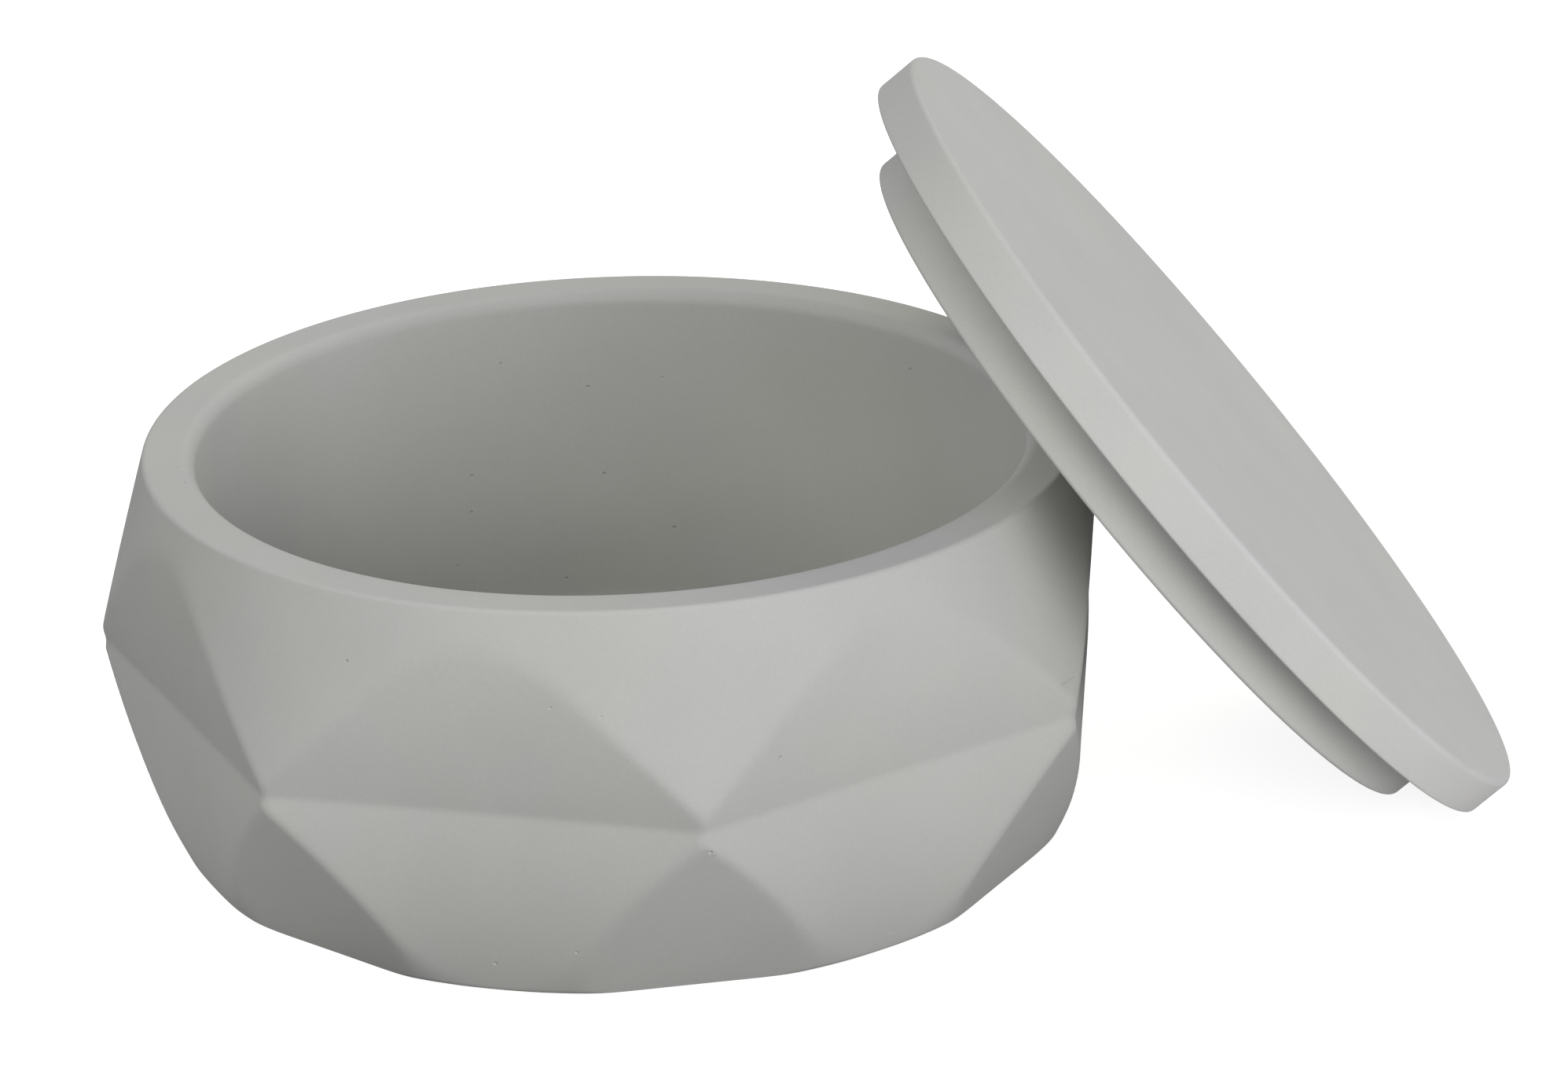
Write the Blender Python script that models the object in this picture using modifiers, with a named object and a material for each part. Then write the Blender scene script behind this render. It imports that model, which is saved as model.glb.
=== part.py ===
"""A low round jar cast in one piece from a fine mineral mix, and its lid leaning on its rim.

The jar is a turned form met by a seven-sided one. Round the waist lie seven pairs of
facets, one above and one below a straight crease, and each pair ends left and right in
a pointed corner. The facets are bowed from top to bottom, so they run out softly below
the rim and above the base. The lid is a flat disc with a shallower plug below it that
drops into the mouth. It stands taken off: its low edge is on the ground, and the flat
underside of its plug leans on the rim's outer edge.

Lengths are in metres, +Z is up, and the origin is the centre of the jar's base.
The lid leans towards +X.
"""

import math

import bpy
from mathutils import Vector

MM = 0.001

# Jar, outside
JAR_HEIGHT = 43.7 * MM
RIM_RADIUS = 50.0 * MM
WAIST_HEIGHT = 21.2 * MM
CORNER_REACH = 5.9 * MM       # how far the waist's corners stand out past the rim
UPPER_WALL_BOW = 0.3 * MM
BASE_DRAW_IN = 2.1 * MM       # how much smaller the base's edge is than the rim's
LOWER_WALL_BOW = 0.6 * MM
RIM_EDGE_ROUNDING = 0.6 * MM
BASE_EDGE_ROUNDING = 1.9 * MM

# Facets
FACET_COUNT = 7
CORNER_TURN = math.radians(18.9)  # from the way the lid leans to the nearest corner
UPPER_FACET_BOW = 1.1 * MM
UPPER_FACET_PASS = 0.5 * MM   # how far the facets, carried up to the rim, stand outside it
LOWER_FACET_BOW = 1.2 * MM
LOWER_FACET_PASS = 0.1 * MM
CREASE_SOFTNESS = 0.5 * MM    # height above and below the waist in which the crease is rounded

# Jar, inside
RIM_WALL = 5.6 * MM
LIP_ROUNDING = 1.6 * MM
HOLLOW_DRAFT = 0.8 * MM       # how much narrower the hollow is at its floor than at its mouth
FLOOR_THICKNESS = 5.0 * MM
FLOOR_ROUNDING = 3.0 * MM

# Lid
FLANGE_OVERHANG = 0.2 * MM    # how far the seated lid would reach past the rim
FLANGE_THICKNESS = 5.1 * MM
FLANGE_TOP_ROUNDING = 0.6 * MM
FLANGE_LOW_ROUNDING = 0.3 * MM
PLUG_DEPTH = 5.5 * MM
PLUG_CLEARANCE = 0.8 * MM     # all round, between the plug and the hollow's wall
PLUG_EDGE_ROUNDING = 0.5 * MM
LID_TILT = math.radians(51.2)
LID_SIDE_STEP = -1.0 * MM     # how far the lid stands to one side of the jar's middle
LEAN_GAP = 0.3 * MM           # between the plug's underside and the rim that it leans on

# Fineness of the round stretches
STEPS_PER_FACET = 16
ARC_STEPS = 4
BOW_STEPS = 8
CUT_OVERRUN = 2.0 * MM
MERGE_REACH = 0.01 * MM       # points of a turned form closer than this become one

# Colours
JAR_COLOUR = (0.40, 0.40, 0.385, 1.0)
LID_COLOUR = (0.42, 0.42, 0.405, 1.0)
MINERAL_ROUGHNESS = 0.8

# Worked out from the sizes above
CORNER_RADIUS = RIM_RADIUS + CORNER_REACH
BASE_RADIUS = RIM_RADIUS - BASE_DRAW_IN
MOUTH_RADIUS = RIM_RADIUS - RIM_WALL
HALF_FACET = math.pi / FACET_COUNT
WAIST_FLAT_RADIUS = CORNER_RADIUS * math.cos(HALF_FACET)
ROUND_STEPS = FACET_COUNT * STEPS_PER_FACET
RIM_EDGE = (RIM_RADIUS, JAR_HEIGHT)
WAIST_CORNER = (CORNER_RADIUS, WAIST_HEIGHT)
BASE_EDGE = (BASE_RADIUS, 0.0)
FLANGE_RADIUS = RIM_RADIUS + FLANGE_OVERHANG
PLUG_RADIUS = MOUTH_RADIUS - PLUG_CLEARANCE


def remove_everything():
    """Empty the scene."""
    for item in list(bpy.data.objects):
        bpy.data.objects.remove(item, do_unlink=True)


def make_collection(name):
    """Make a collection in the scene."""
    collection = bpy.data.collections.new(name)
    bpy.context.scene.collection.children.link(collection)
    return collection


def arc(centre_radius, centre_height, rounding, start_degrees, end_degrees):
    """Points of a round stretch of a profile."""
    points = []
    for step in range(ARC_STEPS + 1):
        degrees = start_degrees + (end_degrees - start_degrees) * step / ARC_STEPS
        angle = math.radians(degrees)
        radius = centre_radius + rounding * math.cos(angle)
        points.append((radius, centre_height + rounding * math.sin(angle)))
    return points


def bowed_radius(height, start, end, bow):
    """Radius at a height on a line from start to end that bulges by bow at its middle."""
    share = (height - start[1]) / (end[1] - start[1])
    return start[0] + (end[0] - start[0]) * share + bow * 4 * share * (1 - share)


def bowed_line(start, end, bow, top, bottom):
    """Points of the bowed line from start to end that lie between two heights."""
    points = []
    for step in range(BOW_STEPS + 1):
        height = top + (bottom - top) * step / BOW_STEPS
        points.append((bowed_radius(height, start, end, bow), height))
    return points


def end_lean(start, end, bow):
    """Degrees that the bowed line leans from upright at its start."""
    return math.degrees(math.atan2(end[0] - start[0] + 4 * bow, abs(end[1] - start[1])))


def edge_arc_radius(edge_radius, rounding, lean_degrees):
    """Radius of the centre of an arc that rounds a flat face into a leaning wall."""
    lean = math.radians(lean_degrees)
    return edge_radius - rounding * (1 - math.sin(lean)) / math.cos(lean)


def outer_wall():
    """Profile of the jar's turned outside, from the flat rim down to the flat base."""
    rim_lean = end_lean(RIM_EDGE, WAIST_CORNER, UPPER_WALL_BOW)
    rim_arc_radius = edge_arc_radius(RIM_RADIUS, RIM_EDGE_ROUNDING, rim_lean)
    rim_arc = arc(rim_arc_radius, JAR_HEIGHT - RIM_EDGE_ROUNDING, RIM_EDGE_ROUNDING, 90, rim_lean)
    base_lean = end_lean(BASE_EDGE, WAIST_CORNER, LOWER_WALL_BOW)
    base_arc_radius = edge_arc_radius(BASE_RADIUS, BASE_EDGE_ROUNDING, base_lean)
    base_arc = arc(base_arc_radius, BASE_EDGE_ROUNDING, BASE_EDGE_ROUNDING, -base_lean, -90)
    upper = bowed_line(RIM_EDGE, WAIST_CORNER, UPPER_WALL_BOW, rim_arc[-1][1], WAIST_HEIGHT)
    lower = bowed_line(WAIST_CORNER, BASE_EDGE, LOWER_WALL_BOW, WAIST_HEIGHT, base_arc[0][1])
    return rim_arc[:-1] + upper + lower[1:-1] + base_arc


def hollow_wall():
    """Profile of the hollow, from the middle of its floor up to the flat rim."""
    floor_radius = MOUTH_RADIUS - HOLLOW_DRAFT
    floor_arc = arc(
        floor_radius - FLOOR_ROUNDING, FLOOR_THICKNESS + FLOOR_ROUNDING, FLOOR_ROUNDING, -90, 0
    )
    lip_arc = arc(MOUTH_RADIUS + LIP_ROUNDING, JAR_HEIGHT - LIP_ROUNDING, LIP_ROUNDING, 180, 90)
    return [(0.0, FLOOR_THICKNESS)] + floor_arc + lip_arc


def soft_bend(start, corner, end):
    """Points between start and end of a curve that rounds off the corner between them."""
    points = []
    for step in range(1, ARC_STEPS):
        share = step / ARC_STEPS
        start_share = (1 - share) ** 2
        corner_share = 2 * share * (1 - share)
        end_share = share ** 2
        radius = start[0] * start_share + corner[0] * corner_share + end[0] * end_share
        height = start[1] * start_share + corner[1] * corner_share + end[1] * end_share
        points.append((radius, height))
    return points


def facet_wall():
    """Profile of the middle line of a facet pair, from above the rim to below the base."""
    top = (RIM_RADIUS + UPPER_FACET_PASS, JAR_HEIGHT)
    waist = (WAIST_FLAT_RADIUS, WAIST_HEIGHT)
    bottom = (BASE_RADIUS + LOWER_FACET_PASS, 0.0)
    crease_top = WAIST_HEIGHT + CREASE_SOFTNESS
    crease_bottom = WAIST_HEIGHT - CREASE_SOFTNESS
    upper = bowed_line(top, waist, UPPER_FACET_BOW, JAR_HEIGHT, crease_top)
    lower = bowed_line(waist, bottom, LOWER_FACET_BOW, crease_bottom, 0.0)
    crease = soft_bend(upper[-1], waist, lower[0])
    above = (top[0], JAR_HEIGHT + CUT_OVERRUN)
    below = (bottom[0], -CUT_OVERRUN)
    return [above] + upper + crease + lower + [below]


def make_turned(name, profile, steps, collection):
    """Turn a profile, drawn down its outer side, once round the Z axis."""
    mesh = bpy.data.meshes.new(name)
    vertices = [(radius, 0.0, height) for radius, height in profile]
    edges = [(index, index + 1) for index in range(len(profile) - 1)]
    mesh.from_pydata(vertices, edges, [])
    item = bpy.data.objects.new(name, mesh)
    collection.objects.link(item)
    screw = item.modifiers.new("turn", "SCREW")
    screw.axis = "Z"
    screw.steps = steps
    screw.render_steps = steps
    screw.use_merge_vertices = True
    screw.merge_threshold = MERGE_REACH
    screw.use_smooth_shade = True
    return item


def make_material(name, colour):
    """Matte cast mineral of one colour."""
    material = bpy.data.materials.new(name)
    material.use_nodes = True
    shader = material.node_tree.nodes["Principled BSDF"]
    shader.inputs["Base Color"].default_value = colour
    shader.inputs["Roughness"].default_value = MINERAL_ROUGHNESS
    shader.inputs["Metallic"].default_value = 0.0
    return material


def make_jar_body(parts, cutters):
    """The jar: a turned form with its hollow, kept only where a seven-sided form meets it."""
    profile = hollow_wall() + outer_wall() + [(0.0, 0.0)]
    jar = make_turned("jar_body", profile, ROUND_STEPS, parts)
    jar.rotation_euler.z = CORNER_TURN
    jar.data.materials.append(make_material("jar_mineral", JAR_COLOUR))
    stretch = 1 / math.cos(HALF_FACET)
    facets = [(radius * stretch, height) for radius, height in facet_wall()]
    facets = [(0.0, facets[0][1])] + facets + [(0.0, facets[-1][1])]
    form = make_turned("seven_sided_form", facets, FACET_COUNT, cutters)
    form.rotation_euler.z = CORNER_TURN
    form.hide_render = True
    form.display_type = "WIRE"
    cut = jar.modifiers.new("facets", "BOOLEAN")
    cut.operation = "INTERSECT"
    cut.solver = "EXACT"
    cut.object = form
    return jar


def lid_profile():
    """Profile of the lid, its top face at height zero and its plug below."""
    flange_low = -FLANGE_THICKNESS
    plug_low = flange_low - PLUG_DEPTH
    top_edge_radius = FLANGE_RADIUS - FLANGE_TOP_ROUNDING
    top_arc = arc(top_edge_radius, -FLANGE_TOP_ROUNDING, FLANGE_TOP_ROUNDING, 90, 0)
    low_edge_radius = FLANGE_RADIUS - FLANGE_LOW_ROUNDING
    low_arc = arc(low_edge_radius, flange_low + FLANGE_LOW_ROUNDING, FLANGE_LOW_ROUNDING, 0, -90)
    plug_edge_radius = PLUG_RADIUS - PLUG_EDGE_ROUNDING
    plug_arc = arc(plug_edge_radius, plug_low + PLUG_EDGE_ROUNDING, PLUG_EDGE_ROUNDING, 0, -90)
    return [(0.0, 0.0)] + top_arc + low_arc + [(PLUG_RADIUS, flange_low)] + plug_arc + [(0.0, plug_low)]


def lid_place():
    """Middle of the leaning lid's top: its low edge on the ground, its plug against the rim."""
    across = math.sin(LID_TILT)
    along = math.cos(LID_TILT)
    edge_radius = FLANGE_RADIUS - FLANGE_LOW_ROUNDING
    edge_depth = FLANGE_THICKNESS - FLANGE_LOW_ROUNDING
    height = edge_radius * across + edge_depth * along + FLANGE_LOW_ROUNDING
    rim_lean = end_lean(RIM_EDGE, WAIST_CORNER, UPPER_WALL_BOW)
    touch_radius = edge_arc_radius(RIM_RADIUS, RIM_EDGE_ROUNDING, rim_lean)
    touch_height = JAR_HEIGHT - RIM_EDGE_ROUNDING
    rim_reach = touch_radius * across + touch_height * along + RIM_EDGE_ROUNDING
    top_reach = rim_reach + LEAN_GAP + PLUG_DEPTH + FLANGE_THICKNESS
    return Vector(((top_reach - height * along) / across, LID_SIDE_STEP, height))


def make_lid(parts):
    """The lid: a disc with a plug, leaning on the rim."""
    lid = make_turned("lid", lid_profile(), ROUND_STEPS, parts)
    lid.location = lid_place()
    lid.rotation_euler.y = LID_TILT
    lid.data.materials.append(make_material("lid_mineral", LID_COLOUR))
    return lid


def main():
    remove_everything()
    parts = make_collection("cosmetic_jar")
    cutters = make_collection("cutters")
    make_jar_body(parts, cutters)
    make_lid(parts)


main()
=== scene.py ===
"""The looks of a cosmetic jar cast from a fine mineral mix, with its lid leaning on its rim.

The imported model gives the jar's height and the lid's place. Finer meshes of the same two pieces
stand for its nodes here: the facets' edges are soft as on a casting, the faces are a little
uneven, and the pinholes that air leaves in the mix are real dents.

Lengths are in metres, +Z is up, and the origin is the centre of the jar's base. The lid
leans towards +X, and the camera stands on the -Y side.
"""

import math
import random

import bmesh
import bpy
from mathutils import Matrix, Vector, bvhtree, kdtree, noise


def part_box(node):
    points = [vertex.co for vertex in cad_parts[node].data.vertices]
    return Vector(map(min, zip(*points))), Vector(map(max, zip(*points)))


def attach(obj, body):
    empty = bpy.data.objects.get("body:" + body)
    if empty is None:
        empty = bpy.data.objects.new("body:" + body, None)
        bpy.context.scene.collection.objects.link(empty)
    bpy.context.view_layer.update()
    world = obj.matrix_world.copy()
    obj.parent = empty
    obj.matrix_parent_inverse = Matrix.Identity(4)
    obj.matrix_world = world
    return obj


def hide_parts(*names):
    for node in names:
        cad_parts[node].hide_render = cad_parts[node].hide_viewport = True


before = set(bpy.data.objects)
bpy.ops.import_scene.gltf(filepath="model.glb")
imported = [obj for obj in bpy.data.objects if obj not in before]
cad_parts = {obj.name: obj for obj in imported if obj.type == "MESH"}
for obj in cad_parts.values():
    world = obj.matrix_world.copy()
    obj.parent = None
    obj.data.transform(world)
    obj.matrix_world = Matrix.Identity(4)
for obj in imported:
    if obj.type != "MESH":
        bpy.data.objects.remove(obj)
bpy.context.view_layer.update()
jar_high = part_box("jar_body")[1]
lid_low, lid_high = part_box("lid")

MM = 0.001

# Photograph
PHOTO_WIDTH = 1995
PHOTO_HEIGHT = 1387
FOCAL_PIXELS = 8700
CAMERA_PLACE = Vector((-29.2, -682.45, 305.04)) * MM
CAMERA_YAW = 0.0694
CAMERA_PITCH = -0.3827
CAMERA_ROLL = -0.0298
SENSOR_WIDTH = 36.0
CLIP_START = 0.05
CLIP_END = 50.0

# Jar, outside
JAR_HEIGHT = jar_high.z
RIM_RADIUS = 50.0 * MM
WAIST_HEIGHT = 21.1 * MM
CORNER_REACH = 5.5 * MM
WALL_STAND = 0.7 * MM
UPPER_WALL_BOW = 0.1 * MM
BASE_DRAW_IN = 2.3 * MM
LOWER_WALL_BOW = 0.6 * MM
RIM_EDGE_ROUNDING = 0.6 * MM
BASE_EDGE_ROUNDING = 1.4 * MM

# Facets, in pairs above and below the waist, and the triangles below the corners
FACET_COUNT = 7
CORNER_TURN = math.radians(18.9)
CORNER_CROWDING = math.radians(1.7)
CROWDED_SIDE = math.radians(-98)
UPPER_FACET_BOW = 1.1 * MM
UPPER_FACET_PASS = 0.6 * MM
LOWER_FACET_BOW = 1.3 * MM
LOWER_FACET_PASS = -0.2 * MM
TRIANGLE_STAND = 0.75 * MM
TRIANGLE_BOW = 0.15 * MM
TRIANGLE_DRAW_IN = 1.45 * MM
CREASE_SOFTNESS = 0.5 * MM
FACET_EDGE_SOFTNESS = 0.3 * MM
CORNER_SOFTNESS = 0.35 * MM

# Jar, inside
RIM_WALL = 5.6 * MM
LIP_ROUNDING = 1.6 * MM
HOLLOW_DRAFT = 0.8 * MM
FLOOR_THICKNESS = 5.0 * MM
FLOOR_ROUNDING = 3.0 * MM

# Lid
FLANGE_OVERHANG = 0.2 * MM
FLANGE_THICKNESS = 5.1 * MM
FLANGE_TOP_ROUNDING = 0.6 * MM
FLANGE_LOW_ROUNDING = 0.3 * MM
PLUG_DEPTH = 5.5 * MM
PLUG_CLEARANCE = 0.8 * MM
PLUG_EDGE_ROUNDING = 0.5 * MM
PLUG_ROOT_ROUNDING = 0.5 * MM
LID_TILT = math.radians(51.2)
MESH_INSET = 0.01 * MM

# Unevenness of the cast faces
WAVE_LENGTH = 9.0 * MM
WAVE_DEPTH = 0.035 * MM

# Pinholes, by their pixels in the photograph where they show there
PINHOLE_PIXELS = [
    (411, 499), (637, 463), (843, 481), (748, 492), (600, 606), (600, 652), (769, 603),
    (582, 720), (721, 736), (858, 671), (1158, 470), (441, 841), (993, 964), (904, 1085),
    (734, 1212), (630, 1226), (1134, 1186), (1300, 252), (1307, 264), (1387, 260), (236, 613),
]
FAINT_PINHOLE_PIXELS = [(700, 901), (765, 912)]
PINHOLE_RADIUS = 0.2 * MM
PINHOLE_DEPTH = 0.26 * MM
FAINT_PINHOLE_DEPTH = 0.1 * MM
PINHOLE_SPREAD = 0.3
PINHOLE_SEED = 7
HIDDEN_PINHOLES_PER_SIDE = 9
PLUG_AREA_SHARES = (0.05, 0.9)

# Marks, by the pixels that they run through: a scratch, two nicks, a wavy line and a worn edge
SCRATCH_PIXELS = [(1369, 859), (1358, 867), (1351, 870)]
SCRATCH_END_PIXELS = [(1341, 876), (1329, 884)]
NICK_PIXELS = [(223, 593), (232, 593)]
SECOND_NICK_PIXELS = [(223, 599), (232, 599)]
WAVY_LINE_PIXELS = [(1284, 200), (1278, 213), (1287, 232), (1292, 243)]
WORN_EDGE_PIXELS = [(197, 636), (222, 657), (248, 676), (275, 692), (299, 704)]
SCRATCH_RADIUS = 0.13 * MM
SCRATCH_DEPTH = 0.09 * MM
FAINT_DEPTH = 0.03 * MM
WORN_EDGE_RADIUS = 0.75 * MM
WORN_EDGE_DEPTH = 0.07 * MM

# Cast material: its clouds, its drift from warm to cool and its grain
JAR_COLOUR = (0.42, 0.42, 0.405)
LID_COLOUR = (0.465, 0.465, 0.45)
ROUGHNESS = 0.8
CLOUD_LENGTH = 14.0 * MM
CLOUD_DETAIL = 3.0
CLOUD_STRENGTH = 0.02
HUE_LENGTH = 20.0 * MM
HUE_DETAIL = 2.0
HUE_STRENGTH = 0.02
GRAIN_LENGTH = 0.35 * MM
GRAIN_DETAIL = 4.0
GRAIN_STRENGTH = 0.02
GRAIN_RELIEF = 0.012 * MM
NOISE_LOW = 0.3
NOISE_HIGH = 0.7

# Studio light: each lamp's name, azimuth, elevation, watts and colour
LAMP_DISTANCE = 1.2
LAMP_SIZE = 0.6
LAMPS = [
    ("front_low", 30, 8, 8.7, (1.0, 0.99, 1.0)),
    ("front", 0, 30, 4.4, (0.97, 1.0, 0.83)),
    ("left", -90, 42, 4.1, (0.98, 1.0, 0.82)),
    ("back_right", 150, 30, 4.5, (0.97, 1.0, 0.74)),
]
WORLD_STRENGTH = 0.52
WORLD_COLOUR = (0.84, 0.82, 1.0)
WHITE = (1.0, 1.0, 1.0, 1.0)

# Floor, a hair below the jar's base, and its greys at shares of the way from left to right
FLOOR_SIZE = 8.0
FLOOR_DROP = 0.05 * MM
FLOOR_LEFT = -100 * MM
FLOOR_RIGHT = 100 * MM
FLOOR_BOUNCE = [(0.0, 0.1), (0.2, 0.6), (0.38, 0.12), (0.6, 0.12), (0.9, 0.7)]
FLOOR_GLOW = 0.84
FLOOR_CATCH = 0.5

# Fineness of the meshes
STEPS_PER_FACET = 64
ARC_STEPS = 10
WALL_STEPS = 60
RIM_STEPS = 10
DISC_STEPS = 70
LID_SIDE_STEPS = 12
WAIST_CROWDING = 1.3
DENT_CUTS = 9
DENT_MARGIN = 0.5 * MM

# Worked out from the sizes above
CORNER_RADIUS = RIM_RADIUS + CORNER_REACH
BASE_RADIUS = RIM_RADIUS - BASE_DRAW_IN
MOUTH_RADIUS = RIM_RADIUS - RIM_WALL
FLANGE_RADIUS = RIM_RADIUS + FLANGE_OVERHANG - MESH_INSET
PLUG_RADIUS = MOUTH_RADIUS - PLUG_CLEARANCE
FACET_TURN = 2 * math.pi / FACET_COUNT
WAIST_FLAT_RADIUS = CORNER_RADIUS * math.cos(FACET_TURN / 2)
ROUND_STEPS = FACET_COUNT * STEPS_PER_FACET
RIM_EDGE = (RIM_RADIUS, JAR_HEIGHT)
WAIST_CORNER = (CORNER_RADIUS + WALL_STAND, WAIST_HEIGHT)
BASE_EDGE = (BASE_RADIUS, 0.0)


def camera_axes():
    """The camera's right, up and forward directions."""
    forward = Vector((
        math.sin(CAMERA_YAW) * math.cos(CAMERA_PITCH),
        math.cos(CAMERA_YAW) * math.cos(CAMERA_PITCH),
        math.sin(CAMERA_PITCH),
    ))
    level_right = Vector((math.cos(CAMERA_YAW), -math.sin(CAMERA_YAW), 0.0))
    level_up = level_right.cross(forward)
    right = level_right * math.cos(CAMERA_ROLL) + level_up * math.sin(CAMERA_ROLL)
    up = level_up * math.cos(CAMERA_ROLL) - level_right * math.sin(CAMERA_ROLL)
    return right, up, forward


def make_camera():
    """A long lens at the photograph's viewing angle."""
    right, up, forward = camera_axes()
    data = bpy.data.cameras.new("camera")
    data.sensor_width = SENSOR_WIDTH
    data.lens = SENSOR_WIDTH * FOCAL_PIXELS / PHOTO_WIDTH
    data.clip_start = CLIP_START
    data.clip_end = CLIP_END
    camera = bpy.data.objects.new("camera", data)
    bpy.context.scene.collection.objects.link(camera)
    turn = Matrix((right, up, -forward)).transposed().to_4x4()
    camera.matrix_world = Matrix.Translation(CAMERA_PLACE) @ turn
    bpy.context.scene.camera = camera


def pixel_direction(pixel):
    """Direction from the camera through a pixel of the photograph."""
    right, up, forward = camera_axes()
    across = (pixel[0] - PHOTO_WIDTH / 2) / FOCAL_PIXELS
    upward = (PHOTO_HEIGHT / 2 - pixel[1]) / FOCAL_PIXELS
    return (forward + right * across + up * upward).normalized()


def smooth_min(one, other, softness):
    """The smaller of two values, rounded off where they are nearly equal."""
    overlap = max(softness - abs(one - other), 0.0) / softness
    return min(one, other) - overlap * overlap * softness / 4


def bowed_radius(height, start, end, bow):
    """Radius at a height on a bowed line, carried on straight past its ends."""
    share = (height - start[1]) / (end[1] - start[1])
    inside = min(max(share, 0.0), 1.0)
    slope = end[0] - start[0] + bow * 4 * (1 - 2 * inside)
    on_line = start[0] + (end[0] - start[0]) * inside + bow * 4 * inside * (1 - inside)
    return on_line + slope * (share - inside)


def turned_radius(height):
    """Radius of the jar's turned outside, which is what shows at the seven corners."""
    upper = bowed_radius(height, RIM_EDGE, WAIST_CORNER, UPPER_WALL_BOW)
    lower = bowed_radius(height, WAIST_CORNER, BASE_EDGE, LOWER_WALL_BOW)
    return smooth_min(upper, lower, CORNER_SOFTNESS)


def facet_radius(height):
    """Distance from the jar's axis to the middle line of a facet pair."""
    top = (RIM_RADIUS + UPPER_FACET_PASS, JAR_HEIGHT)
    waist = (WAIST_FLAT_RADIUS, WAIST_HEIGHT)
    bottom = (BASE_RADIUS + LOWER_FACET_PASS, 0.0)
    above = min(max((height - WAIST_HEIGHT) / CREASE_SOFTNESS, -1.0), 1.0)
    if above == 1.0:
        return bowed_radius(height, top, waist, UPPER_FACET_BOW)
    if above == -1.0:
        return bowed_radius(height, waist, bottom, LOWER_FACET_BOW)
    crease_top = bowed_radius(WAIST_HEIGHT + CREASE_SOFTNESS, top, waist, UPPER_FACET_BOW)
    crease_bottom = bowed_radius(WAIST_HEIGHT - CREASE_SOFTNESS, waist, bottom, LOWER_FACET_BOW)
    share = (1 - above) / 2
    bend = crease_top * (1 - share) ** 2 + crease_bottom * share ** 2
    return bend + WAIST_FLAT_RADIUS * 2 * share * (1 - share)


def triangle_radius(height):
    """Distance from the jar's axis to the middle line of a triangle below a corner."""
    top = (CORNER_RADIUS + TRIANGLE_STAND, WAIST_HEIGHT)
    bottom = (BASE_RADIUS - TRIANGLE_DRAW_IN, 0.0)
    return bowed_radius(height, top, bottom, TRIANGLE_BOW)


def crowded(even_angle):
    """Angle on the jar, with its front corners closer together, of an angle on an even form."""
    return even_angle - CORNER_CROWDING * math.sin(even_angle - CROWDED_SIDE)


def evened(angle):
    """Angle on an even form of an angle on the jar."""
    return angle + CORNER_CROWDING * math.sin(angle - CROWDED_SIDE)


def off_facet_middle(angle):
    """Angle from the middle of the nearest facet pair."""
    turned = (evened(angle) - CORNER_TURN) % FACET_TURN
    return turned - FACET_TURN / 2


def off_corner(angle):
    """Angle from the nearest corner."""
    return FACET_TURN / 2 - abs(off_facet_middle(angle))


def outer_radius(angle, height, round_radius):
    """Radius of the jar's outside: the innermost of the turned form, the facets and the triangles."""
    facet = facet_radius(height) / math.cos(off_facet_middle(angle))
    radius = smooth_min(round_radius, facet, FACET_EDGE_SOFTNESS)
    if height < WAIST_HEIGHT:
        triangle = triangle_radius(height) / math.cos(off_corner(angle))
        radius = smooth_min(radius, triangle, FACET_EDGE_SOFTNESS)
    return radius


def arc(centre_radius, centre_height, rounding, start_degrees, end_degrees):
    """Points of a round stretch of a profile."""
    points = []
    for step in range(ARC_STEPS + 1):
        degrees = start_degrees + (end_degrees - start_degrees) * step / ARC_STEPS
        angle = math.radians(degrees)
        radius = centre_radius + rounding * math.cos(angle)
        points.append((radius, centre_height + rounding * math.sin(angle)))
    return points


def straight(start, end, steps):
    """Points between two points of a profile, without either."""
    points = []
    for step in range(1, steps):
        share = step / steps
        radius = start[0] + (end[0] - start[0]) * share
        points.append((radius, start[1] + (end[1] - start[1]) * share))
    return points


def end_lean(start, end, bow):
    """Degrees that the bowed line leans from upright at its start."""
    return math.degrees(math.atan2(end[0] - start[0] + 4 * bow, abs(end[1] - start[1])))


def edge_arc_radius(edge_radius, rounding, lean_degrees):
    """Radius of the centre of an arc that rounds a flat face into a leaning wall."""
    lean = math.radians(lean_degrees)
    return edge_radius - rounding * (1 - math.sin(lean)) / math.cos(lean)


def wall_levels(top, bottom):
    """Heights down the outside, closer together near the waist."""
    levels = []
    for step in range(1, WALL_STEPS + 1):
        share = 1 - (1 - step / WALL_STEPS) ** WAIST_CROWDING
        levels.append(top + (WAIST_HEIGHT - top) * share)
    for step in range(1, WALL_STEPS):
        share = (step / WALL_STEPS) ** WAIST_CROWDING
        levels.append(WAIST_HEIGHT + (bottom - WAIST_HEIGHT) * share)
    return levels


def outer_profile():
    """Profile of the jar's turned outside, from the flat rim down to the flat base."""
    rim_lean = end_lean(RIM_EDGE, WAIST_CORNER, UPPER_WALL_BOW)
    rim_arc_radius = edge_arc_radius(RIM_RADIUS, RIM_EDGE_ROUNDING, rim_lean)
    rim_arc = arc(rim_arc_radius, JAR_HEIGHT - RIM_EDGE_ROUNDING, RIM_EDGE_ROUNDING, 90, rim_lean)
    base_lean = end_lean(BASE_EDGE, WAIST_CORNER, LOWER_WALL_BOW)
    base_arc_radius = edge_arc_radius(BASE_RADIUS, BASE_EDGE_ROUNDING, base_lean)
    base_arc = arc(base_arc_radius, BASE_EDGE_ROUNDING, BASE_EDGE_ROUNDING, -base_lean, -90)
    levels = wall_levels(rim_arc[-1][1], base_arc[0][1])
    wall = [(turned_radius(height), height) for height in levels]
    return rim_arc + wall + base_arc


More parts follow.
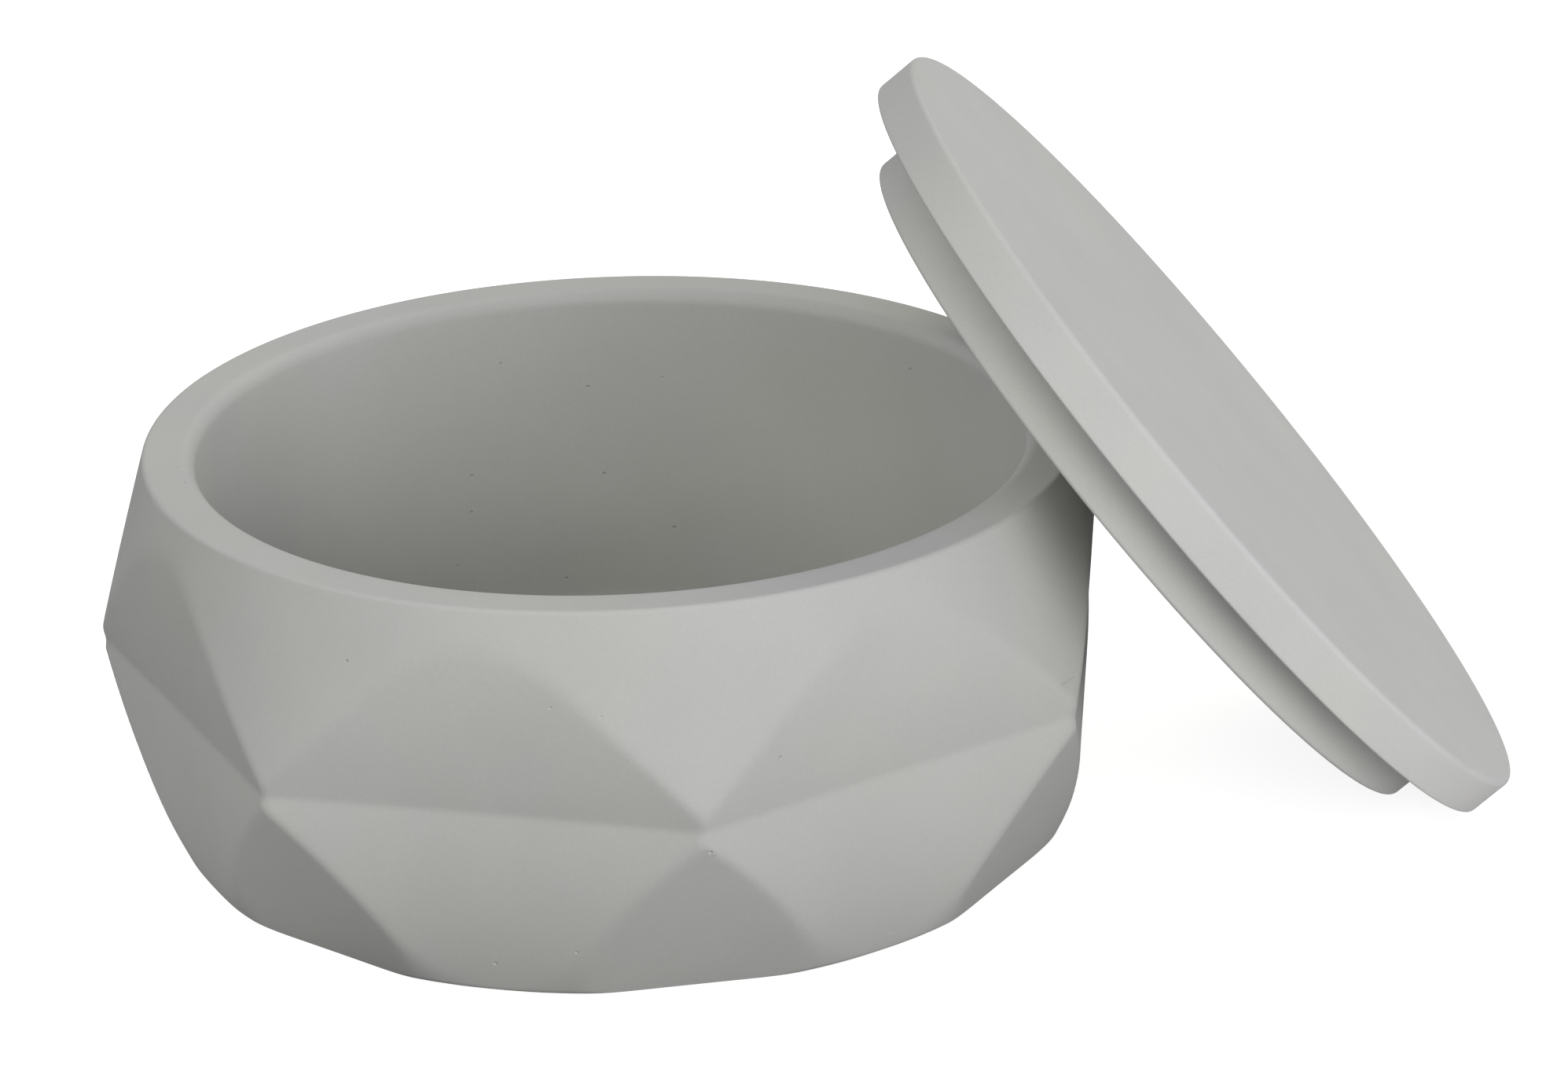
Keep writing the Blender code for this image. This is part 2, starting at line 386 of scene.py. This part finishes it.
def hollow_profile():
    """Profile of the hollow, from near the middle of its floor up to the flat rim."""
    floor_radius = MOUTH_RADIUS - HOLLOW_DRAFT
    floor_arc = arc(
        floor_radius - FLOOR_ROUNDING, FLOOR_THICKNESS + FLOOR_ROUNDING, FLOOR_ROUNDING, -90, 0
    )
    lip_arc = arc(MOUTH_RADIUS + LIP_ROUNDING, JAR_HEIGHT - LIP_ROUNDING, LIP_ROUNDING, 180, 90)
    floor = straight((0.0, FLOOR_THICKNESS), floor_arc[0], DISC_STEPS)
    wall = straight(floor_arc[-1], lip_arc[0], WALL_STEPS)
    return floor + floor_arc + wall + lip_arc


def waviness(point):
    """How far a cast face lies below its true surface at a point."""
    return WAVE_DEPTH * (1 + noise.noise(point / WAVE_LENGTH)) / 2


def ring_mesh(rings, first_middle, last_middle):
    """A closed mesh from rings of points and a middle point at each end."""
    mesh = bmesh.new()
    start = mesh.verts.new(first_middle)
    loops = [[mesh.verts.new(point) for point in ring] for ring in rings]
    end = mesh.verts.new(last_middle)
    count = len(rings[0])
    for index in range(count):
        following = (index + 1) % count
        mesh.faces.new((start, loops[0][index], loops[0][following]))
        mesh.faces.new((end, loops[-1][following], loops[-1][index]))
        for inner, outer in zip(loops, loops[1:]):
            mesh.faces.new((inner[index], outer[index], outer[following], inner[following]))
    mesh.normal_update()
    return mesh


def column_angles():
    """Angles of the columns of points round a piece, one of which is at each corner."""
    return [crowded(CORNER_TURN + 2 * math.pi * step / ROUND_STEPS) for step in range(ROUND_STEPS)]


def round_point(radius, angle, height):
    """A point by its distance from the axis, its angle and its height."""
    return Vector((radius * math.cos(angle), radius * math.sin(angle), height))


def jar_point_outside(angle, height, round_radius):
    """A point of the uneven cast surface outside the jar."""
    point = round_point(outer_radius(angle, height, round_radius), angle, height)
    depth = waviness(point)
    return round_point(outer_radius(angle, height, round_radius) - depth, angle, height)


def jar_point_inside(angle, height, radius):
    """A point of the uneven cast surface inside the jar, flat on the rim and the floor."""
    floor_share = (height - FLOOR_THICKNESS) / FLOOR_ROUNDING
    lip_share = (JAR_HEIGHT - height) / LIP_ROUNDING
    share = min(max(min(floor_share, lip_share), 0.0), 1.0)
    point = round_point(radius, angle, height)
    return round_point(radius + waviness(point) * share, angle, height)


def on_jar_wall(point):
    """The point of the jar's curved walls beside a point between two columns of its mesh."""
    angle = math.atan2(point.y, point.x)
    hollow_low = FLOOR_THICKNESS + FLOOR_ROUNDING
    hollow_high = JAR_HEIGHT - LIP_ROUNDING
    if math.hypot(point.x, point.y) < MOUTH_RADIUS + LIP_ROUNDING:
        if point.z <= hollow_low or point.z >= hollow_high:
            return point
        share = (hollow_high - point.z) / (hollow_high - hollow_low)
        return jar_point_inside(angle, point.z, MOUTH_RADIUS - HOLLOW_DRAFT * share)
    if point.z <= BASE_EDGE_ROUNDING or point.z >= JAR_HEIGHT - RIM_EDGE_ROUNDING:
        return point
    return jar_point_outside(angle, point.z, turned_radius(point.z))


def jar_mesh():
    """The jar as a fine mesh, from the middle of the hollow's floor round to the base's middle."""
    hollow = hollow_profile()
    outside = outer_profile()
    rim = straight(hollow[-1], outside[0], RIM_STEPS)
    base = straight(outside[-1], (0.0, 0.0), DISC_STEPS)
    angles = column_angles()
    rings = []
    for radius, height in hollow:
        rings.append([jar_point_inside(angle, height, radius) for angle in angles])
    for radius, height in rim:
        rings.append([round_point(radius, angle, height) for angle in angles])
    for radius, height in outside:
        rings.append([jar_point_outside(angle, height, radius) for angle in angles])
    for radius, height in base:
        rings.append([round_point(radius, angle, height) for angle in angles])
    return ring_mesh(rings, (0.0, 0.0, FLOOR_THICKNESS), (0.0, 0.0, 0.0))


def lid_profile():
    """Profile of the lid, its top face at height zero and its plug below."""
    flange_low = -FLANGE_THICKNESS
    plug_low = flange_low - PLUG_DEPTH
    top_edge_radius = FLANGE_RADIUS - FLANGE_TOP_ROUNDING
    top_arc = arc(top_edge_radius, -FLANGE_TOP_ROUNDING, FLANGE_TOP_ROUNDING, 90, 0)
    low_edge_radius = FLANGE_RADIUS - FLANGE_LOW_ROUNDING
    low_arc = arc(low_edge_radius, flange_low + FLANGE_LOW_ROUNDING, FLANGE_LOW_ROUNDING, 0, -90)
    root_arc = arc(
        PLUG_RADIUS + PLUG_ROOT_ROUNDING, flange_low - PLUG_ROOT_ROUNDING, PLUG_ROOT_ROUNDING, 90, 180
    )
    plug_arc_radius = PLUG_RADIUS - PLUG_EDGE_ROUNDING
    plug_arc = arc(plug_arc_radius, plug_low + PLUG_EDGE_ROUNDING, PLUG_EDGE_ROUNDING, 0, -90)
    top = straight((0.0, 0.0), top_arc[0], DISC_STEPS)
    side = straight(top_arc[-1], low_arc[0], LID_SIDE_STEPS)
    seat = straight(low_arc[-1], root_arc[0], LID_SIDE_STEPS)
    plug_side = straight(root_arc[-1], plug_arc[0], LID_SIDE_STEPS)
    underside = straight(plug_arc[-1], (0.0, plug_low), DISC_STEPS)
    return top + top_arc + side + low_arc + seat + root_arc + plug_side + plug_arc + underside


def lid_matrix():
    """Place of the lid's top face, tilted about Y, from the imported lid's box."""
    edge_radius = FLANGE_RADIUS - FLANGE_TOP_ROUNDING
    reach_out = edge_radius * math.cos(LID_TILT) + FLANGE_TOP_ROUNDING * (1 - math.sin(LID_TILT))
    reach_up = edge_radius * math.sin(LID_TILT) + FLANGE_TOP_ROUNDING * (1 - math.cos(LID_TILT))
    middle = Vector((lid_high.x - reach_out, (lid_low.y + lid_high.y) / 2, lid_high.z - reach_up))
    return Matrix.Translation(middle) @ Matrix.Rotation(LID_TILT, 4, "Y")


def lid_mesh():
    """The lid as a fine mesh, in its place."""
    angles = column_angles()
    rings = []
    for radius, height in lid_profile():
        rings.append([round_point(radius, angle, height) for angle in angles])
    mesh = ring_mesh(rings, (0.0, 0.0, 0.0), (0.0, 0.0, -FLANGE_THICKNESS - PLUG_DEPTH))
    mesh.transform(lid_matrix())
    return mesh


def pixel_hit(trees, pixel):
    """Index of the piece that a pixel of the photograph shows, and the point on it."""
    hits = []
    for index, tree in enumerate(trees):
        place, normal, face, distance = tree.ray_cast(CAMERA_PLACE, pixel_direction(pixel))
        if place is not None:
            hits.append((distance, index, place))
    distance, index, place = min(hits)
    return index, place


def path_hits(trees, pixels, spacing):
    """The piece and the points that a line of pixels runs through, closely spaced."""
    index, first = pixel_hit(trees, pixels[0])
    points = [first]
    for pixel in pixels[1:]:
        start = points[-1]
        end = pixel_hit(trees, pixel)[1]
        steps = math.ceil((end - start).length / spacing)
        points.extend(start.lerp(end, step / steps) for step in range(1, steps + 1))
    return index, points


def hidden_pinhole_places(chance):
    """Points on the sides that the photograph doesn't show, as (piece index, point)."""
    places = []
    for count in range(HIDDEN_PINHOLES_PER_SIDE):
        back_angle = chance.uniform(0.0, math.pi)
        height = chance.uniform(BASE_EDGE_ROUNDING * 2, JAR_HEIGHT - LIP_ROUNDING)
        places.append((0, jar_point_outside(back_angle, height, turned_radius(height))))
        height = chance.uniform(FLOOR_THICKNESS + FLOOR_ROUNDING, JAR_HEIGHT - LIP_ROUNDING)
        near_wall = round_point(MOUTH_RADIUS, chance.uniform(-math.pi, 0.0), height)
        places.append((0, on_jar_wall(near_wall)))
        radius = PLUG_RADIUS * math.sqrt(chance.uniform(*PLUG_AREA_SHARES))
        under = round_point(radius, chance.uniform(0.0, 2 * math.pi), -FLANGE_THICKNESS - PLUG_DEPTH)
        places.append((1, lid_matrix() @ under))
    return places


def find_dents(trees):
    """All dents of each piece, as lists of (place, radius, depth)."""
    chance = random.Random(PINHOLE_SEED)
    dents = [[] for tree in trees]
    places = [pixel_hit(trees, pixel) for pixel in PINHOLE_PIXELS]
    for index, place in places + hidden_pinhole_places(chance):
        size = chance.uniform(1 - PINHOLE_SPREAD, 1 + PINHOLE_SPREAD)
        dents[index].append((place, PINHOLE_RADIUS * size, PINHOLE_DEPTH * size))
    for pixel in FAINT_PINHOLE_PIXELS:
        index, place = pixel_hit(trees, pixel)
        dents[index].append((place, PINHOLE_RADIUS, FAINT_PINHOLE_DEPTH))
    for pixels, radius, depth in (
        (SCRATCH_PIXELS, SCRATCH_RADIUS, SCRATCH_DEPTH),
        (SCRATCH_END_PIXELS, SCRATCH_RADIUS, FAINT_DEPTH),
        (NICK_PIXELS, SCRATCH_RADIUS, SCRATCH_DEPTH),
        (SECOND_NICK_PIXELS, SCRATCH_RADIUS, SCRATCH_DEPTH),
        (WAVY_LINE_PIXELS, SCRATCH_RADIUS, FAINT_DEPTH),
        (WORN_EDGE_PIXELS, WORN_EDGE_RADIUS, WORN_EDGE_DEPTH),
    ):
        index, points = path_hits(trees, pixels, radius / 2)
        dents[index].extend((point, radius, depth) for point in points)
    return dents


def press_dents(mesh, dents, settle):
    """Refine a mesh round its dents, settle the new points on its surface and press the dents in."""
    centres = kdtree.KDTree(len(dents))
    for index, dent in enumerate(dents):
        centres.insert(dent[0], index)
    centres.balance()
    edges = {}
    for face in mesh.faces:
        place, index, distance = centres.find(face.calc_center_median())
        if distance < dents[index][1] + DENT_MARGIN:
            edges.update(dict.fromkeys(face.edges))
    made = bmesh.ops.subdivide_edges(mesh, edges=list(edges), cuts=DENT_CUTS, use_grid_fill=True)
    for item in made["geom_inner"]:
        if isinstance(item, bmesh.types.BMVert):
            item.co = settle(item.co)
    mesh.normal_update()
    sunk = []
    for vert in mesh.verts:
        place, index, distance = centres.find(vert.co)
        radius, depth = dents[index][1:]
        if distance < radius:
            fall = depth * (1 - (distance / radius) ** 2) ** 2
            sunk.append((vert, vert.co - vert.normal * fall))
    for vert, place in sunk:
        vert.co = place
    mesh.normal_update()


def finish_piece(name, mesh, material, body, node):
    """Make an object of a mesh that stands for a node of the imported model."""
    data = bpy.data.meshes.new(name)
    mesh.to_mesh(data)
    mesh.free()
    data.shade_smooth()
    data.materials.append(material)
    piece = bpy.data.objects.new(name, data)
    bpy.context.scene.collection.objects.link(piece)
    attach(piece, body)
    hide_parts(node)


def add_node(tree, kind, **settings):
    """Add a node, with values for its sockets, or for its properties where no socket has the name."""
    node = tree.nodes.new(kind)
    for name, value in settings.items():
        socket = name.title()
        if socket in node.inputs:
            node.inputs[socket].default_value = value
        else:
            setattr(node, name, value)
    return node


def add_noise(tree, place, length, detail):
    """Noise with features of about a length, as a value round one half."""
    noise_node = add_node(tree, "ShaderNodeTexNoise", scale=1 / length, detail=detail)
    tree.links.new(place, noise_node.inputs["Vector"])
    return noise_node.outputs["Fac"]


def spread(tree, value, low, high):
    """Stretch a noise value's middle range to a range of factors."""
    stretched = add_node(tree, "ShaderNodeMapRange")
    stretched.inputs["From Min"].default_value = NOISE_LOW
    stretched.inputs["From Max"].default_value = NOISE_HIGH
    stretched.inputs["To Min"].default_value = low
    stretched.inputs["To Max"].default_value = high
    tree.links.new(value, stretched.inputs["Value"])
    return stretched.outputs["Result"]


def multiply(tree, first, second):
    """Product of two values."""
    product = add_node(tree, "ShaderNodeMath", operation="MULTIPLY")
    tree.links.new(first, product.inputs[0])
    tree.links.new(second, product.inputs[1])
    return product.outputs["Value"]


def tinted(colour, strength):
    """A colour made warmer by a strength, or cooler by a negative one."""
    red, green, blue = colour
    return (red * (1 + strength), green * (1 + strength / 2), blue * (1 - strength), 1.0)


def mineral(name, colour):
    """Fine cast mineral: matte, faintly mottled from warm to cool, with a close grain."""
    material = bpy.data.materials.new(name)
    material.use_nodes = True
    tree = material.node_tree
    shader = tree.nodes["Principled BSDF"]
    shader.inputs["Roughness"].default_value = ROUGHNESS
    place = add_node(tree, "ShaderNodeTexCoord").outputs["Object"]
    clouds = add_noise(tree, place, CLOUD_LENGTH, CLOUD_DETAIL)
    hue = add_noise(tree, place, HUE_LENGTH, HUE_DETAIL)
    grain = add_noise(tree, place, GRAIN_LENGTH, GRAIN_DETAIL)
    shade = multiply(
        tree,
        spread(tree, clouds, 1 - CLOUD_STRENGTH, 1 + CLOUD_STRENGTH),
        spread(tree, grain, 1 - GRAIN_STRENGTH, 1 + GRAIN_STRENGTH),
    )
    tint = add_node(tree, "ShaderNodeMix", data_type="RGBA")
    tint.inputs["A"].default_value = tinted(colour, HUE_STRENGTH)
    tint.inputs["B"].default_value = tinted(colour, -HUE_STRENGTH)
    tree.links.new(hue, tint.inputs["Factor"])
    shaded = add_node(tree, "ShaderNodeVectorMath", operation="SCALE")
    tree.links.new(tint.outputs["Result"], shaded.inputs[0])
    tree.links.new(shade, shaded.inputs["Scale"])
    tree.links.new(shaded.outputs["Vector"], shader.inputs["Base Color"])
    relief = add_node(tree, "ShaderNodeBump", strength=1.0, distance=GRAIN_RELIEF)
    tree.links.new(grain, relief.inputs["Height"])
    tree.links.new(relief.outputs["Normal"], shader.inputs["Normal"])
    return material


def show_camera(tree, seen, light, surface):
    """Show the camera one shader and let another light the scene."""
    path = add_node(tree, "ShaderNodeLightPath")
    mix = add_node(tree, "ShaderNodeMixShader")
    tree.links.new(path.outputs["Is Camera Ray"], mix.inputs[0])
    tree.links.new(light, mix.inputs[1])
    tree.links.new(seen, mix.inputs[2])
    tree.links.new(mix.outputs["Shader"], surface)


def floor_bounce(tree):
    """Shader of the light that the floor throws back, most of it beside the jar and the lid."""
    place = add_node(tree, "ShaderNodeSeparateXYZ")
    tree.links.new(add_node(tree, "ShaderNodeTexCoord").outputs["Object"], place.inputs["Vector"])
    across = add_node(tree, "ShaderNodeMapRange")
    across.inputs["From Min"].default_value = FLOOR_LEFT
    across.inputs["From Max"].default_value = FLOOR_RIGHT
    tree.links.new(place.outputs["X"], across.inputs["Value"])
    tones = add_node(tree, "ShaderNodeValToRGB")
    stops = tones.color_ramp.elements
    while len(stops) < len(FLOOR_BOUNCE):
        stops.new(0.5)
    for stop, (share, grey) in zip(stops, FLOOR_BOUNCE):
        stop.position = share
        stop.color = (grey, grey, grey, 1.0)
    tree.links.new(across.outputs["Result"], tones.inputs["Fac"])
    bounce = add_node(tree, "ShaderNodeBsdfDiffuse")
    tree.links.new(tones.outputs["Color"], bounce.inputs["Color"])
    return bounce.outputs["BSDF"]


def floor_seen(tree):
    """Shader of the white floor that the camera sees, which keeps a faint shadow."""
    catch = add_node(tree, "ShaderNodeBsdfDiffuse", color=(FLOOR_CATCH, FLOOR_CATCH, FLOOR_CATCH, 1.0))
    glow = add_node(tree, "ShaderNodeEmission", strength=FLOOR_GLOW)
    seen = add_node(tree, "ShaderNodeAddShader")
    tree.links.new(glow.outputs["Emission"], seen.inputs[0])
    tree.links.new(catch.outputs["BSDF"], seen.inputs[1])
    return seen.outputs["Shader"]


def make_floor():
    """A plain floor under the jar and the lid."""
    bpy.ops.mesh.primitive_plane_add(size=FLOOR_SIZE, location=(0.0, 0.0, -FLOOR_DROP))
    floor = bpy.context.object
    floor.name = "floor"
    material = bpy.data.materials.new("floor_white")
    material.use_nodes = True
    tree = material.node_tree
    tree.nodes.clear()
    output = add_node(tree, "ShaderNodeOutputMaterial")
    show_camera(tree, floor_seen(tree), floor_bounce(tree), output.inputs["Surface"])
    floor.data.materials.append(material)


def make_world():
    """Even pale light from all round, white to the camera."""
    world = bpy.data.worlds.new("world")
    bpy.context.scene.world = world
    world.use_nodes = True
    tree = world.node_tree
    light = tree.nodes["Background"]
    light.inputs["Color"].default_value = (*WORLD_COLOUR, 1.0)
    light.inputs["Strength"].default_value = WORLD_STRENGTH
    seen = add_node(tree, "ShaderNodeBackground", color=WHITE, strength=1.0)
    surface = tree.nodes["World Output"].inputs["Surface"]
    show_camera(tree, seen.outputs["Background"], light.outputs["Background"], surface)


def make_lamp(name, azimuth, elevation, watts, colour):
    """A square soft lamp that points at the jar. Azimuth 0 is the camera's side, 90 is +X."""
    data = bpy.data.lights.new(name, "AREA")
    data.shape = "SQUARE"
    data.size = LAMP_SIZE
    data.energy = watts
    data.color = colour
    lamp = bpy.data.objects.new(name, data)
    bpy.context.scene.collection.objects.link(lamp)
    turn = math.radians(azimuth)
    rise = math.radians(elevation)
    outward = Vector((
        math.sin(turn) * math.cos(rise), -math.cos(turn) * math.cos(rise), math.sin(rise)
    ))
    lamp.location = outward * LAMP_DISTANCE
    lamp.rotation_euler = outward.to_track_quat("Z", "Y").to_euler()


bpy.context.scene.view_settings.view_transform = "Standard"
make_camera()
jar_stone = mineral("jar_mineral", JAR_COLOUR)
lid_stone = mineral("lid_mineral", LID_COLOUR)
jar = jar_mesh()
lid = lid_mesh()
jar_dents, lid_dents = find_dents([bvhtree.BVHTree.FromBMesh(jar), bvhtree.BVHTree.FromBMesh(lid)])
press_dents(jar, jar_dents, on_jar_wall)
press_dents(lid, lid_dents, Vector)
finish_piece("jar_casting", jar, jar_stone, "jar", "jar_body")
finish_piece("lid_casting", lid, lid_stone, "lid", "lid")
make_floor()
make_world()
for lamp_settings in LAMPS:
    make_lamp(*lamp_settings)
